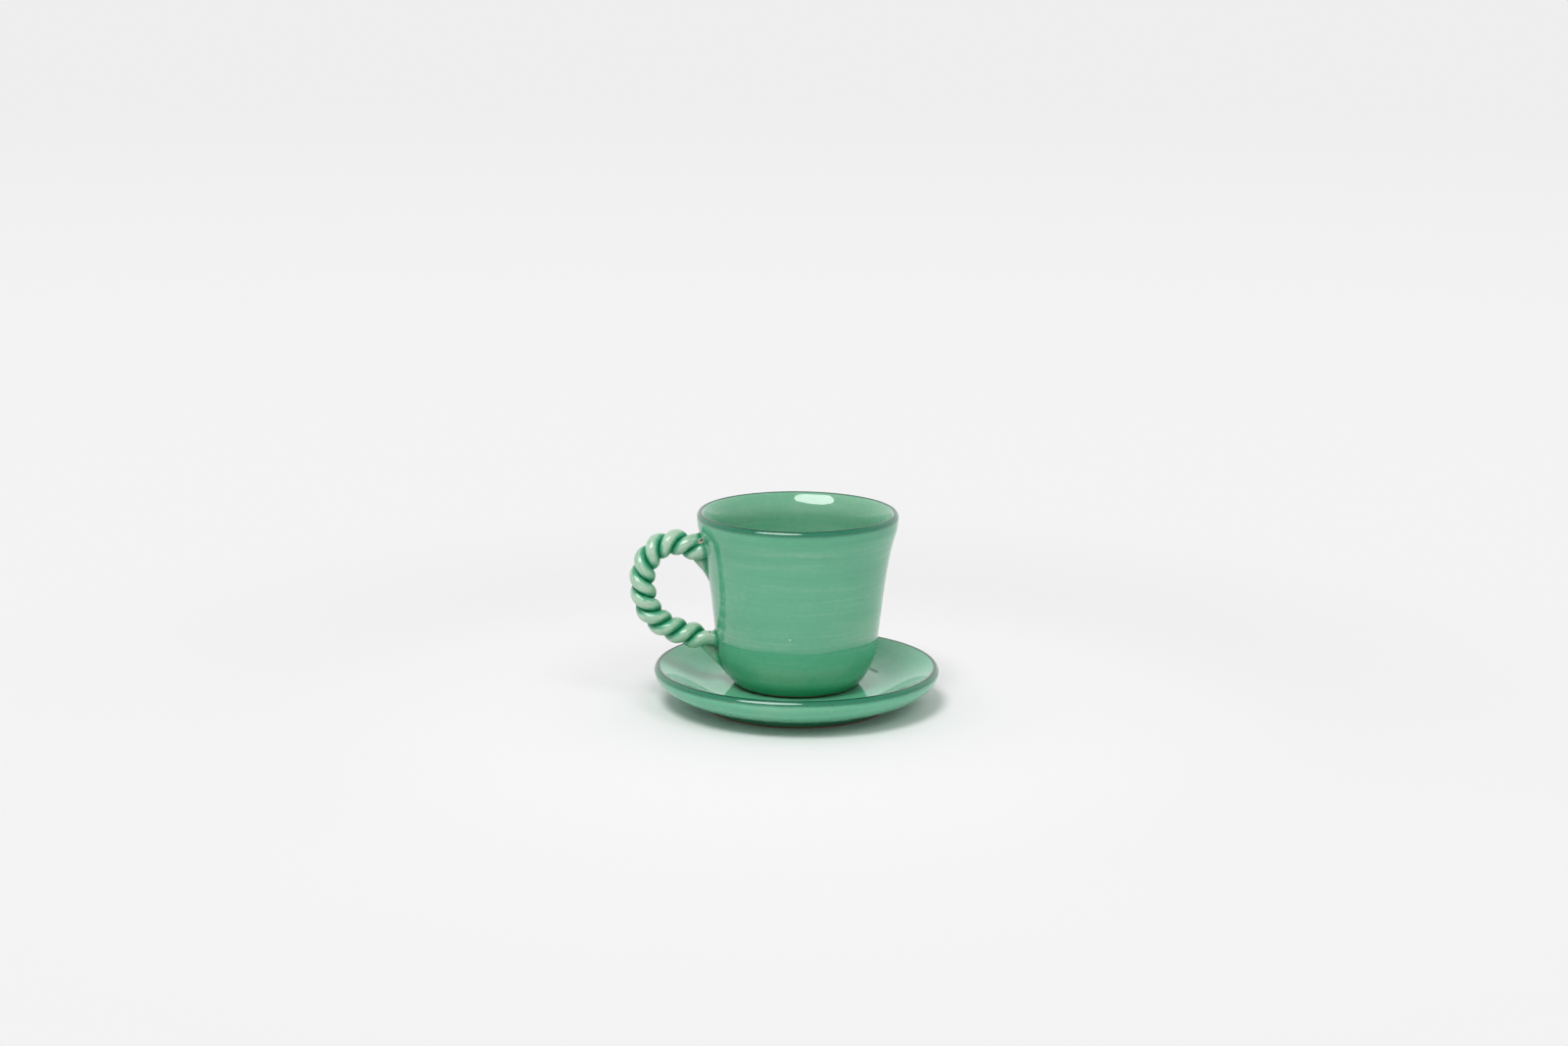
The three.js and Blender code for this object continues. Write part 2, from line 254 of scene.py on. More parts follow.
def twisted(start, end, phase):
    """Middles of a strand in the twist, between two rope lengths."""
    along = np.linspace(start, end, math.ceil((end - start) / TWIST_SPACING) + 1)
    middle = np.stack([np.interp(along, ROPE_ALONG, ROPE_POINTS[:, k]) for k in range(3)], 1)
    tangent = np.gradient(ROPE_POINTS, ROPE_ALONG, axis=0)
    forward = np.stack([np.interp(along, ROPE_ALONG, tangent[:, k]) for k in range(3)], 1)
    outward = np.stack([forward[:, 2], 0 * along, -forward[:, 0]], 1)
    angle = (phase - math.pi * (along - FIRST_GROOVE) / HALF_TURN)[:, None]
    return middle + STRAND_OFFSET * (outward * np.cos(angle) + np.array([0, 1, 0]) * np.sin(angle))


def end_points(root, rows):
    """Points of a strand's end, in rows of rise over the root, way out of the wall and place across."""
    points = [out_from_wall(out, root + rise) for rise, out, _ in rows]
    return np.array([(p[0], across, p[2]) for p, (_, _, across) in zip(points, rows)])


def blend(first, second, knot, start, end):
    """Points between two points or rows of points, by where the knots lie between start and end."""
    return (first * (end - knot) + second * (knot - start)) / (end - start)


def smooth_line(points, spacing):
    """Evenly spaced points of a centripetal spline through all the points."""
    ends = np.vstack([2 * points[0] - points[1], points, 2 * points[-1] - points[-2]])
    knots = np.r_[0, np.cumsum(np.sqrt(np.linalg.norm(np.diff(ends, axis=0), axis=1)))]
    found = []
    for i in range(1, len(ends) - 2):
        p, k = ends[i - 1:i + 3], knots[i - 1:i + 3]
        t = np.linspace(k[1], k[2], SPLINE_STEPS, endpoint=False)[:, None]
        first = blend(p[0], p[1], t, k[0], k[1])
        second = blend(p[1], p[2], t, k[1], k[2])
        third = blend(p[2], p[3], t, k[2], k[3])
        lower = blend(first, second, t, k[0], k[2])
        upper = blend(second, third, t, k[1], k[3])
        found.append(blend(lower, upper, t, k[1], k[2]))
    dense = np.vstack([*found, points[-1:]])
    along = np.r_[0, np.cumsum(np.linalg.norm(np.diff(dense, axis=0), axis=1))]
    even = np.linspace(0, along[-1], math.ceil(along[-1] / spacing) + 1)
    return np.stack([np.interp(even, along, dense[:, k]) for k in range(3)], 1)


def line_length(points):
    return np.linalg.norm(np.diff(points, axis=0), axis=1).sum()


PLAIN_UPPER = end_points(UPPER_ROOT, [(2.0, -ROOT_DEPTH, -2.2)])
PLAIN_LOWER = end_points(LOWER_ROOT, [(1.9, 4, -2.6), (1.5, 0.6, -2.2), (1.2, -ROOT_DEPTH, -2.0)])
TAILED_UPPER = end_points(UPPER_ROOT, [
    (0.4, 3.6, 2.9),
    (-UPPER_TAIL_DROP * 0.23, 2.9, 2.2),
    (-UPPER_TAIL_DROP * 0.55, 0.1, 1),
    (-UPPER_TAIL_DROP, -2.2, 0.3),
])
TAILED_LOWER = end_points(LOWER_ROOT, [
    (0.9, 6.5, 2.7),
    (-LOWER_TAIL_DROP * 0.15, 4.4, 2.2),
    (-LOWER_TAIL_DROP * 0.5, 0.8, 1.2),
    (-LOWER_TAIL_DROP, -1.9, 0.3),
])

# Where each strand's twist starts and ends along the rope. The strands are half a turn apart
PLAIN_START, PLAIN_END, TAILED_END = 1.0, ROPE_LENGTH - 7.0, ROPE_LENGTH - 8.6
PLAIN_TWIST = twisted(PLAIN_START, PLAIN_END, phase=math.pi)
TAILED_TWIST = twisted(FIRST_GROOVE, TAILED_END, phase=0)

plain_path = smooth_line(np.vstack([PLAIN_UPPER[::-1], PLAIN_TWIST, PLAIN_LOWER]), STRAND_SPACING)
tailed_path = smooth_line(np.vstack([TAILED_UPPER[::-1], TAILED_TWIST, TAILED_LOWER]), STRAND_SPACING)

# The tailed strand tapers to both of its tips
share = np.linspace(0, 1, len(tailed_path))
upper_share = line_length(TAILED_UPPER) / line_length(tailed_path)
lower_share = line_length(TAILED_LOWER) / line_length(tailed_path)
from_tip = np.minimum(1, np.minimum(share / upper_share, (1 - share) / lower_share))
tailed_radius = TAIL_TIP_RADIUS + (STRAND_RADIUS - TAIL_TIP_RADIUS) * np.sqrt(from_tip)
plain_radius = np.full(len(plain_path), STRAND_RADIUS)


# Node trees

class Tree:
    """A node tree being built. An output given as a value is linked, anything else is set on the socket."""

    def __init__(self, tree):
        self.tree = tree

    def feed(self, socket, value):
        if isinstance(value, bpy.types.NodeSocket):
            self.tree.links.new(value, socket)
        elif value is not None:
            socket.default_value = value

    def add(self, kind, *values, out=0, named=None, **settings):
        """New node with its settings. Values go to its shown inputs in order. Returns one output."""
        node = self.tree.nodes.new(kind)
        for key, value in settings.items():
            setattr(node, key, value)
        for socket, value in zip([s for s in node.inputs if s.enabled], values):
            self.feed(socket, value)
        for name, value in (named or {}).items():
            self.feed(node.inputs[name], value)
        if isinstance(out, str):
            return node.outputs[out]
        return [s for s in node.outputs if s.enabled][out]

    def math(self, operation, *values, clamp=False):
        return self.add("ShaderNodeMath", *values, operation=operation, use_clamp=clamp)

    def vector(self, operation, *values):
        return self.add("ShaderNodeVectorMath", *values, operation=operation)

    def xyz(self, value):
        node = self.tree.nodes.new("ShaderNodeSeparateXYZ")
        self.feed(node.inputs[0], value)
        return node.outputs[0], node.outputs[1], node.outputs[2]

    def combine(self, x, y, z):
        return self.add("ShaderNodeCombineXYZ", x, y, z)

    def ramp(self, value, low, high, to_low=0.0, to_high=1.0):
        """Smooth step of a value from one level to another."""
        return self.add("ShaderNodeMapRange", value, low, high, to_low, to_high,
                        interpolation_type="SMOOTHSTEP")

    def mix(self, factor, a, b):
        return self.add("ShaderNodeMix", factor, a, b, data_type="RGBA", out=0)

    def noise(self, vector, scale, detail=2.0, roughness=0.5):
        return self.add("ShaderNodeTexNoise", named={
            "Vector": vector, "Scale": scale, "Detail": detail, "Roughness": roughness}, out="Fac")

    def scale(self, vector, factor):
        return self.add("ShaderNodeVectorMath", vector, operation="SCALE", named={"Scale": factor})

    def swing(self, value, size):
        """A value of about 0 to 1 as a swing to both sides of nothing."""
        return self.math("MULTIPLY", self.math("SUBTRACT", value, 0.5), size)

    def read(self, name, kind="FLOAT"):
        return self.add("GeometryNodeInputNamedAttribute", name, data_type=kind)

    def store(self, geometry, name, value, kind="FLOAT"):
        return self.add("GeometryNodeStoreNamedAttribute", geometry, None, name, value, data_type=kind,
                        domain="POINT")

    def nearest(self, geometry, place, element):
        """The point of a geometry that is nearest to a place, and how far it is."""
        node = self.add("GeometryNodeProximity", geometry, named={"Sample Position": place},
                        target_element=element).node
        return node.outputs["Position"], node.outputs["Distance"]


def geometry_tree(name, inputs):
    """New geometry tree with its group inputs. Returns the builder and the inputs' outputs by name."""
    tree = bpy.data.node_groups.new(name, "GeometryNodeTree")
    tree.interface.new_socket("Geometry", in_out="INPUT", socket_type="NodeSocketGeometry")
    for label, kind in inputs.items():
        tree.interface.new_socket(label, in_out="INPUT", socket_type="NodeSocket" + kind)
    tree.interface.new_socket("Geometry", in_out="OUTPUT", socket_type="NodeSocketGeometry")
    group = tree.nodes.new("NodeGroupInput")
    return Tree(tree), {s.name: s for s in group.outputs if s.name}


def close_tree(t, geometry, material):
    made = t.add("GeometryNodeSetShadeSmooth", geometry)
    made = t.add("GeometryNodeRealizeInstances", made)
    made = t.add("GeometryNodeSetMaterial", made, None, material)
    t.tree.links.new(made, t.tree.nodes.new("NodeGroupOutput").inputs[0])
    return t.tree


def thrown_tree():
    """Turns an outline about the axis, with the rings and the slight waver of clay thrown by hand."""
    t, given = geometry_tree("thrown form", {
        "Outline": "Object", "Outline Points": "Int", "Turn Steps": "Int", "Ring Depth": "Float",
        "Waver": "Float", "Material": "Material"})
    outline = t.add("GeometryNodeObjectInfo", given["Outline"], out="Geometry")
    columns = t.math("ADD", given["Turn Steps"], 1)
    sheet = t.add("GeometryNodeMeshGrid", 1.0, 1.0, columns, given["Outline Points"]).node
    here = t.add("GeometryNodeInputPosition")
    x, y, _ = t.xyz(here)
    last = t.math("SUBTRACT", given["Outline Points"], 1)
    row = t.math("ROUND", t.math("MULTIPLY", t.math("ADD", y, 0.5), last))
    on_outline = t.add("GeometryNodeSampleIndex", outline, here, row, data_type="FLOAT_VECTOR")
    radius, _, height = t.xyz(on_outline)
    angle = t.math("MULTIPLY", t.math("ADD", x, 0.5), 2 * math.pi)
    cosine, sine = t.math("COSINE", angle), t.math("SINE", angle)
    rings = t.noise(t.combine(cosine, sine, t.math("MULTIPLY", height, RING_PITCH)), RING_SCALE)
    waver = t.noise(t.combine(cosine, sine, t.math("MULTIPLY", height, WAVER_PITCH)), WAVER_SCALE, detail=1.0)
    push = t.math("ADD", t.swing(rings, given["Ring Depth"]), t.swing(waver, given["Waver"]))
    push = t.math("MULTIPLY", push, t.ramp(radius, STILL_RADIUS * MM, THROWN_RADIUS * MM))
    full = t.math("ADD", radius, push)
    place = t.combine(t.math("MULTIPLY", full, cosine), t.math("MULTIPLY", full, sine), height)
    flat, flat_place = sheet.outputs["Mesh"], sheet.outputs["UV Map"]
    made = t.add("GeometryNodeStoreNamedAttribute", flat, None, "UVMap", flat_place,
                 data_type="FLOAT2", domain="CORNER")
    made = t.add("GeometryNodeSetPosition", made, None, place)
    made = t.add("GeometryNodeMergeByDistance", made, None, SAME_PLACE)
    return close_tree(t, made, given["Material"])


def strand_tree():
    """Sweeps a strand along its path, presses it against the other strand and works it into the wall."""
    t, given = geometry_tree("rope strand", {
        "Other Path": "Object", "Wall": "Object", "Sides": "Int", "Gap": "Float", "Web": "Float",
        "Sunk": "Float", "Deepest": "Float", "Fillet": "Float", "Unevenness": "Float",
        "Material": "Material"})
    other = t.add("GeometryNodeObjectInfo", given["Other Path"], out="Geometry")
    wall = t.add("GeometryNodeObjectInfo", given["Wall"], out="Geometry")
    here = t.add("GeometryNodeInputPosition")
    middle = t.read("middle", "FLOAT_VECTOR")
    outward = t.vector("SUBTRACT", here, middle)

    # A round section follows the path, a little uneven as if rolled by hand
    along = t.add("GeometryNodeSplineParameter", out="Length")
    line = t.add("GeometryNodeMeshToCurve", given["Geometry"])
    line = t.store(line, "middle", here, "FLOAT_VECTOR")
    line = t.store(line, "along", along)
    uneven = t.swing(t.noise(t.combine(along, 0.0, 0.0), ROLLING_SCALE), given["Unevenness"])
    thickness = t.math("MULTIPLY", t.read("thickness"), t.math("ADD", 1.0, uneven))
    ring = t.add("GeometryNodeCurvePrimitiveCircle", given["Sides"], named={"Radius": 1.0})
    ring = t.store(ring, "round", here, "FLOAT_VECTOR")
    swept = t.add("GeometryNodeCurveToMesh", line, ring, thickness, True)

    # Half of the way to the other strand is free for this one
    near, to_other = t.nearest(other, here, "EDGES")
    facing = t.vector("NORMALIZE", t.vector("SUBTRACT", near, middle))
    halfway = t.scale(t.vector("ADD", near, middle), 0.5)
    over = t.vector("DOT_PRODUCT", t.vector("SUBTRACT", here, halfway), facing)
    over = t.math("ADD", over, t.math("MULTIPLY", given["Gap"], 0.5))
    over = t.math("MAXIMUM", over, 0.0)
    pressed = t.add("GeometryNodeSetPosition", swept, None, t.vector("SUBTRACT", here, t.scale(facing, over)))

    # How far the strand is clear of the wall, and which way is out of it
    on_wall, distance = t.nearest(wall, here, "FACES")
    wall_x, wall_y, _ = t.xyz(on_wall)
    x, y, _ = t.xyz(here)
    from_axis = t.combine(wall_x, wall_y, 0.0)
    outside = t.math("GREATER_THAN", t.vector("LENGTH", t.combine(x, y, 0.0)), t.vector("LENGTH", from_axis))
    clear = t.math("MULTIPLY", distance, outside)
    wall_normal = t.vector("NORMALIZE", from_axis)
    reach = t.math("MAXIMUM", t.vector("LENGTH", outward), LEAST_REACH * MM)

    # The side of a tail that faces the wall is drawn into it as a web, and no strand goes in too deep
    to_wall = t.math("DIVIDE", t.vector("DOT_PRODUCT", outward, wall_normal), t.math("MULTIPLY", reach, -1.0))
    webbed = t.ramp(clear, given["Web"], t.math("MULTIPLY", given["Web"], WEB_FADE), 1.0, 0.0)
    webbed = t.math("MULTIPLY", webbed, t.ramp(to_wall, *WEB_SIDE))
    sink = t.math("MULTIPLY", t.math("ADD", clear, given["Sunk"]), t.math("MULTIPLY", webbed, -1.0))
    buried = t.math("MULTIPLY", distance, t.math("SUBTRACT", 1.0, outside))
    lift = t.math("MAXIMUM", t.math("SUBTRACT", buried, given["Deepest"]), 0.0)
    shift = t.scale(wall_normal, t.math("ADD", sink, lift))
    made = t.add("GeometryNodeSetPosition", pressed, None, None, shift)

    # Clay is smeared out sideways where the strand meets the wall
    close = t.math("SUBTRACT", 1.0, t.math("DIVIDE", clear, given["Fillet"]), clamp=True)
    spread = t.math("MULTIPLY", given["Fillet"], t.math("POWER", close, 2.0))
    sideways = t.vector("SUBTRACT", outward, t.vector("PROJECT", outward, wall_normal))
    smear = t.scale(sideways, t.math("DIVIDE", spread, reach))
    made = t.add("GeometryNodeSetPosition", made, None, None, smear)

    # How far each point is from the crease between the strands, and from the wall
    made = t.store(made, "crown", t.math("SUBTRACT", to_other, t.vector("LENGTH", outward)))
    made = t.store(made, "clear", clear)
    return close_tree(t, made, given["Material"])


def pooling_and_shade_tree():
    """Stores on the wall how far each point is from the handle's strands, for the pooled glaze and painted
    shade at the roots.
    """
    t, given = geometry_tree("glaze pooling", {
        "First Strand": "Object", "Second Strand": "Object", "Material": "Material"})
    both = t.tree.nodes.new("GeometryNodeJoinGeometry")
    for label in ("First Strand", "Second Strand"):
        t.tree.links.new(t.add("GeometryNodeObjectInfo", given[label], out="Geometry"), both.inputs[0])
    _, away = t.nearest(both.outputs[0], t.add("GeometryNodeInputPosition"), "FACES")
    made = t.store(given["Geometry"], "clear", away)
    return close_tree(t, made, given["Material"])


def line_object(name, points, **attributes):
    """Mesh line through points given in millimetres, with float attributes in millimetres."""
    mesh = bpy.data.meshes.new(name)
    mesh.from_pydata((np.asarray(points) * MM).tolist(), [(i, i + 1) for i in range(len(points) - 1)], [])
    for key, values in attributes.items():
        mesh.attributes.new(key, "FLOAT", "POINT").data.foreach_set("value", (values * MM).astype(np.float32))
    return linked(bpy.data.objects.new(name, mesh))


def linked(obj):
    bpy.context.scene.collection.objects.link(obj)
    return obj


def grow(obj, tree, **values):
    """Runs a geometry tree on an object and leaves its result as a plain mesh."""
    modifier = obj.modifiers.new(tree.name, "NODES")
    modifier.node_group = tree
    named = {k.replace("_", " "): v for k, v in values.items()}
    for item in tree.interface.items_tree:
        if item.in_out == "INPUT" and item.name in named:
            modifier[item.identifier] = named[item.name]
    bpy.context.view_layer.update()
    graph = bpy.context.evaluated_depsgraph_get()
    evaluated = obj.evaluated_get(graph)
    mesh = bpy.data.meshes.new_from_object(evaluated, preserve_all_data_layers=True, depsgraph=graph)
    obj.modifiers.clear()
    obj.data = mesh
    mesh.name = obj.name
    return obj


def blank(name):
    return linked(bpy.data.objects.new(name, bpy.data.meshes.new(name)))


# Glaze and clay

CUP_GREEN = (0.110, 0.42, 0.248, 1)
SAUCER_GREEN = (0.12, 0.48, 0.285, 1)
PALE = (0.42, 0.61, 0.45, 1)
DEEP = (0.014, 0.25, 0.115, 1)
LIP_GREEN = (0.012, 0.17, 0.09, 1)
LIP_DARK = (0.012, 0.07, 0.04, 1)
STROKE = (0.11, 0.29, 0.20, 1)
PIT_RIM = (0.55, 0.47, 0.36, 1)
PIT = (0.04, 0.02, 0.01, 1)
CLAY = (0.30, 0.115, 0.06, 1)
CLAY_DARK = (0.17, 0.06, 0.032, 1)
GLAZE_ROUGHNESS = 0.06
ROPE_ROUGHNESS = 0.20
CLAY_ROUGHNESS = 0.85
GLAZE_IOR = 1.65
GLAZE_SHINE, MARK_SHINE = 0.5, 0.05
EVEN_DEPTH = 0.45

# Layers of the glaze on a thrown form: scales of a noise around and up the form, its detail and its swing
Layer = namedtuple("Layer", "around up detail roughness swing")
RINGS = Layer(around=9.0, up=190.0, detail=3.0, roughness=0.55, swing=0.32)
BRUSHED_LINES = Layer(around=30.0, up=800.0, detail=2.0, roughness=0.6, swing=0.14)
CLOUDS = Layer(around=38.0, up=38.0, detail=2.0, roughness=0.5, swing=0.16)
MOTTLE = Layer(around=420.0, up=420.0, detail=2.0, roughness=0.5, swing=0.12)
RIM_RINGS = Layer(around=8.0, up=150.0, detail=2.0, roughness=0.5, swing=0.6)

# Middle of a lip's round, and the angle round it where its green band starts
Lip = namedtuple("Lip", "radius height band_start")
BAND_FADE, BAND_END, BAND_STRENGTH = 0.75, (1.7, 2.0), 0.9
BAND_WAVER, BAND_WAVER_SCALE = 0.2, 130.0
DARK_LINE_START = (1.0, 1.2)
SPECK_SCALE, SPECKS, SPECK_DARKNESS = 1100.0, (0.50, 0.75), 0.35

# Bare clay at the foot: waver and softness of the glaze's edge in millimetres, its grain and its turned lines
EDGE_WAVER, EDGE_WAVER_SCALE, EDGE_FADE = 0.6, 90.0, 0.2
GRAIN_SCALE, GRAIN_SHARE = 2600.0, 0.6
TURNING_SCALE, TURNING_SHARE = 900.0, 0.4
CLAY_RELIEF, GLAZE_RELIEF_SHARE = 0.12, 0.5

# Changes of the glaze's depth, with painted light and shade, on the cup and the saucer, and the heights in
# millimetres where each fades
CUP_FOOT_PAINTED_SHADE, CUP_FOOT_HEIGHTS = 0.75, (CUP_BASE + 2, CUP_BASE + 8)
BOWL_FRONT_PAINTED_LIGHT, BOWL_FLANK_PAINTED_SHADE, BOWL_HEIGHTS = -0.13, 0.28, (CUP_BASE + 10, CUP_BASE + 20)
BOWL_FLANK = (0.5, 1.0)  # from the front, at 0, to the flanks, at 1
RIM_DARKENING, RIM_HEIGHTS = 0.07, (RIM_TOP - 32, RIM_TOP - 10)
INSIDE_PAINTED_LIGHT, INSIDE_TURN = -0.1, (-0.3, 0.0)  # by how far the surface faces out from the axis
SAUCER_FOOT_PAINTED_SHADE, SAUCER_FOOT_HEIGHTS = 0.5, (1.0, 5.0)

# Changes of the glaze's depth at the rope and at its roots on the wall, with painted shade in the creases, at
# the wall and at the roots, and the distances in millimetres where each fades
ROOT_POOL_AND_SHADE, ROOT_REACH = 0.85, (0.0, 3.2)
CREASE_POOL_AND_SHADE, CROWN_DEPTH, CREASE_REACH = 1.0, 0.08, (0.3, 3.2)
CREASE_WAVER, CREASE_WAVER_SCALE = 1.6, 150.0
WALL_POOL_AND_SHADE, WALL_REACH = 0.9, (0.0, 2.0)
STREAKS = Layer(around=3.2, up=130.0, detail=3.0, roughness=0.6, swing=0.6)
STREAK_RELIEF = 0.10
PATCH_SCALE, PATCHES, PATCH_THINNING = 260.0, (0.48, 0.62), 0.14

# Pits of the firing, a pale speck on the cup and a dark stroke in the saucer's dish
Pit = namedtuple("Pit", "middle size rim_middle rim_size")
ROPE_PITS = (
    Pit(middle=(-41.5, -4.1, 73.0), size=0.6, rim_middle=(-41.8, -4.1, 72.5), rim_size=1.4),
    Pit(middle=(-37.6, -3.8, 32.7), size=0.5, rim_middle=(-37.4, -4.4, 32.2), rim_size=0.9),
)
CUP_SPECK, CUP_SPECK_SIZE = (-5.5, -35.2, 37.0), 0.6
STROKE_START, STROKE_END, STROKE_HALF_WIDTH = (33.2, 21.8, 9.2), (37.2, 12.6, 9.2), 1.2
STROKE_CORE = 0.7
RAGGED_SCALE = 1400.0


def glaze_colour(t, depth, green):
    """Colour of the glaze by its depth: pale where it is thin, deep green where it pools, and lighter or
    darker where light or shade is painted into the depth.
    """
    node = t.tree.nodes.new("ShaderNodeValToRGB")
    stops = node.color_ramp.elements
    stops[0].position, stops[0].color = 0.0, PALE
    stops[1].position, stops[1].color = 1.0, DEEP
    middle = stops.new(EVEN_DEPTH)
    middle.color = green
    t.feed(node.inputs[0], depth)
    return node.outputs[0]


def new_material(name):
    material = bpy.data.materials.new(name)
    material.use_nodes = True
    shader = material.node_tree.nodes["Principled BSDF"]
    shader.inputs["IOR"].default_value = GLAZE_IOR
    shader.inputs["Roughness"].default_value = GLAZE_ROUGHNESS
    return material, Tree(material.node_tree), shader


def object_place(t):
    return t.add("ShaderNodeTexCoord", out="Object")


def attribute(t, name, out="Fac"):
    return t.add("ShaderNodeAttribute", attribute_name=name, out=out)


def layer_noise(t, vector, layer):
    """Noise of a layer of glaze, with one scale around the axis and one along it."""
    stretched = t.vector("MULTIPLY", vector, (layer.around, layer.around, layer.up))
    return t.noise(stretched, 1.0, layer.detail, layer.roughness)


def fade(t, value, span, at_low, at_high):
    """Smooth change between two places that are given in millimetres."""
    low, high = span
    return t.ramp(value, low * MM, high * MM, at_low, at_high)


def spot(t, place, middle, size):
    """1 in a small ragged spot of the surface, 0 around it."""
    away = t.vector("DISTANCE", place, Vector(middle) * MM)
    away = t.math("ADD", away, t.swing(t.noise(place, RAGGED_SCALE), size * MM))
    return fade(t, away, (0.5 * size, size), 1.0, 0.0)


def stroke(t, place, start, end, half_width):
    """1 in a leaf-shaped stroke between two points of the surface, 0 around it."""
    start, end = Vector(start) * MM, Vector(end) * MM
    run = (end - start) / 2
    across = run.cross(Vector((0, 0, 1))).normalized() / (half_width * MM)
    offset = t.vector("SUBTRACT", place, (start + end) / 2)
    lengthwise = t.vector("DOT_PRODUCT", offset, run / run.length_squared)
    sideways = t.vector("DOT_PRODUCT", offset, across)
    from_middle = t.vector("LENGTH", t.combine(lengthwise, sideways, 0.0))
    return t.ramp(from_middle, STROKE_CORE, 1.0, 1.0, 0.0)


def bumped(t, shader, height, distance):
    t.feed(shader.inputs["Normal"], t.add("ShaderNodeBump", named={
        "Height": height, "Distance": distance, "Strength": 1.0}, out="Normal"))


def brushed_depth(t, place):
    """Depth of the glaze on a thrown form: soft rings, finer brushed lines, clouds and mottle."""
    depth = EVEN_DEPTH
    for layer in (RINGS, BRUSHED_LINES, CLOUDS, MOTTLE):
        depth = t.math("ADD", depth, t.swing(layer_noise(t, place, layer), layer.swing))
    return depth


def lip_masks(t, place, span, z, lip):
    """Where a lip's outer side is deep green, and where its top and its specks are dark."""
    above = t.math("SUBTRACT", z, lip.height * MM)
    beyond = t.math("SUBTRACT", span, lip.radius * MM)
    angle = t.math("ARCTAN2", above, beyond)
    angle = t.math("ADD", angle, t.swing(t.noise(place, BAND_WAVER_SCALE), BAND_WAVER))
    start = t.ramp(angle, lip.band_start, lip.band_start + BAND_FADE)
    band = t.math("MULTIPLY", start, t.ramp(angle, *BAND_END, 1.0, 0.0))
    line = t.math("MULTIPLY", band, t.ramp(angle, *DARK_LINE_START))
    specks = t.ramp(t.noise(place, SPECK_SCALE), *SPECKS, 0.0, SPECK_DARKNESS)
    specks = t.math("MULTIPLY", band, specks)
    return t.math("MULTIPLY", band, BAND_STRENGTH), t.math("MAXIMUM", line, specks)


def thrown_material(name, green, lip, bare_below, depth_and_shade, surface_mark):
    """Glaze of a thrown form over clay that is bare under a wavering line at its foot."""
    material, t, shader = new_material(name)
    place = object_place(t)
    x, y, z = t.xyz(place)
    span = t.vector("LENGTH", t.combine(x, y, 0.0))
    # The depth carries painted light and shade as well as the glaze's own depth
    depth = t.math("ADD", brushed_depth(t, place), depth_and_shade(t, place))
    band, dark = lip_masks(t, place, span, z, lip)
    colour = t.mix(band, glaze_colour(t, depth, green), LIP_GREEN)
    colour = t.mix(dark, colour, LIP_DARK)
    # A mark has its own tint and hardly shines
    mark, tint = surface_mark(t, place)
    colour = t.mix(mark, colour, tint)
    t.feed(shader.inputs["Specular IOR Level"], t.ramp(mark, 0.0, 1.0, GLAZE_SHINE, MARK_SHINE))

    # Grainy clay with the lines of the turning
    edge = t.math("ADD", z, t.swing(t.noise(place, EDGE_WAVER_SCALE), EDGE_WAVER * MM))
    bare = fade(t, edge, (bare_below, bare_below + EDGE_FADE), 1.0, 0.0)
    grain = t.noise(place, GRAIN_SCALE, detail=3.0, roughness=0.65)
    turned = t.noise(t.combine(t.math("MULTIPLY", span, TURNING_SCALE), 0.0, 0.0), 1.0)
    shade = t.math("ADD", t.math("MULTIPLY", grain, GRAIN_SHARE), t.math("MULTIPLY", turned, TURNING_SHARE))
    clay = t.mix(shade, CLAY_DARK, CLAY)
    t.feed(shader.inputs["Base Color"], t.mix(bare, colour, clay))
    t.feed(shader.inputs["Roughness"], t.ramp(bare, 0.0, 1.0, GLAZE_ROUGHNESS, CLAY_ROUGHNESS))
    rough = t.math("MULTIPLY", bare, t.math("ADD", grain, turned))
    relief = t.math("ADD", rough, t.math("MULTIPLY", depth, GLAZE_RELIEF_SHARE))
    bumped(t, shader, relief, CLAY_RELIEF * MM)
    return material


def rope_material(name):
    """Glaze of the strands: pale and streaked on their crowns, deep green in creases and at the wall, where
    pooled glaze and painted shade go together.
    """
    material, t, shader = new_material(name)
    place = object_place(t)
    patches = t.ramp(t.noise(place, PATCH_SCALE, detail=3.0), *PATCHES)
    round_x, round_y, _ = t.xyz(attribute(t, "round", "Vector"))
    on_strand = t.combine(round_x, round_y, attribute(t, "along"))
    streaks = layer_noise(t, on_strand, STREAKS)
    waver = t.swing(t.noise(place, CREASE_WAVER_SCALE), CREASE_WAVER * MM)
    crown = t.math("ADD", attribute(t, "crown"), waver)
    # Pooled glaze and painted shade: darker in the creases between the strands and where the strands meet the
    # wall
    depth = fade(t, crown, CREASE_REACH, CREASE_POOL_AND_SHADE, CROWN_DEPTH)
    depth = t.math("ADD", depth, fade(t, attribute(t, "clear"), WALL_REACH, WALL_POOL_AND_SHADE, 0.0))
    depth = t.math("ADD", depth, t.swing(streaks, STREAKS.swing))
    depth = t.math("SUBTRACT", depth, t.math("MULTIPLY", patches, PATCH_THINNING))
    colour = glaze_colour(t, depth, CUP_GREEN)
    for pit in ROPE_PITS:
        colour = t.mix(spot(t, place, pit.rim_middle, pit.rim_size), colour, PIT_RIM)
        colour = t.mix(spot(t, place, pit.middle, pit.size), colour, PIT)
    t.feed(shader.inputs["Base Color"], colour)
    shader.inputs["Roughness"].default_value = ROPE_ROUGHNESS
    bumped(t, shader, streaks, STREAK_RELIEF * MM)
    return material


def cup_mark(t, place):
    """A pale speck on the front of the wall."""
    return spot(t, place, CUP_SPECK, CUP_SPECK_SIZE), PALE


def saucer_mark(t, place):
    """A dark stroke in the dish, to the right of the cup."""
    return stroke(t, place, STROKE_START, STROKE_END, STROKE_HALF_WIDTH), STROKE


